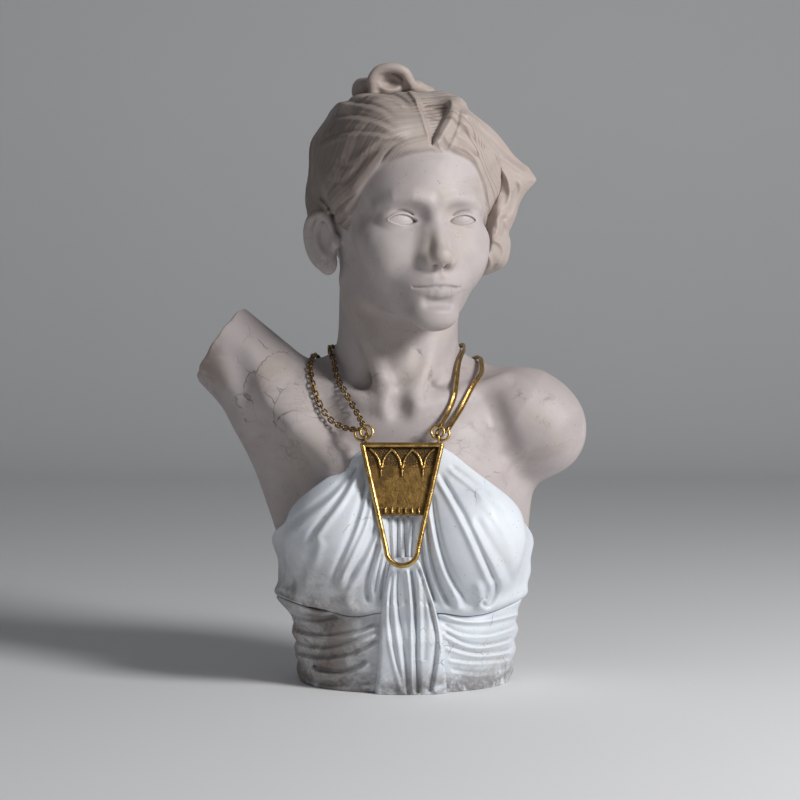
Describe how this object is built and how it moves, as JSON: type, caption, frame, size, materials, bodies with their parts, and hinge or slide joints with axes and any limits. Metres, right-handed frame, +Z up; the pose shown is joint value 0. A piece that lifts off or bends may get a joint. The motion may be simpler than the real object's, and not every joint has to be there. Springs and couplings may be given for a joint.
{
  "type": "marble bust",
  "caption": "Life-size pieced marble bust of a turned head and draped shoulders, one arm stump raised, wearing a gilt pendant necklace, on a flat cut base.",
  "frame": {"origin": "centre of the flat base, on the plane that it stands on", "axes": "+Z up, the figure faces -Y, +X to the figure's own left, which is the viewer's right"},
  "size_m": [0.392, 0.2504, 0.6116],
  "materials": {
    "flesh_marble": "warm ivory marble, soft polish, fine dark veins and specks",
    "drapery_marble": "white marble, rubbed matt, grey dirt in the folds",
    "gilt_metal": "antique gold, bright on rubbed edges, dark in the hollows",
    "dowel_metal": "plain drawn metal, hidden in the stone"
  },
  "bodies": {
    "root": {"torso": "flesh_marble", "right_arm": "flesh_marble", "left_arm": "flesh_marble", "head": "flesh_marble", "topknot": "flesh_marble", "side_lock": "flesh_marble", "waist_sash": "drapery_marble", "bodice_right": "drapery_marble", "bodice_left": "drapery_marble", "front_fall": "drapery_marble", "pendant_frame": "gilt_metal", "pendant_plate": "gilt_metal", "pendant_arcade": "gilt_metal", "pendant_drops": "gilt_metal", "pendant_studs": "gilt_metal", "pendant_pins": "gilt_metal", "right_rings": "gilt_metal", "left_rings": "gilt_metal", "chain_outer": "gilt_metal", "chain_inner": "gilt_metal", "strap_outer": "gilt_metal", "strap_inner": "gilt_metal", "nape_ring": "gilt_metal", "neck_dowel": "dowel_metal", "arm_dowels": "dowel_metal", "hair_dowels": "dowel_metal", "torso_dowels": "dowel_metal", "bodice_pins": "dowel_metal", "fall_pins": "dowel_metal"}
  },
  "joints": []
}
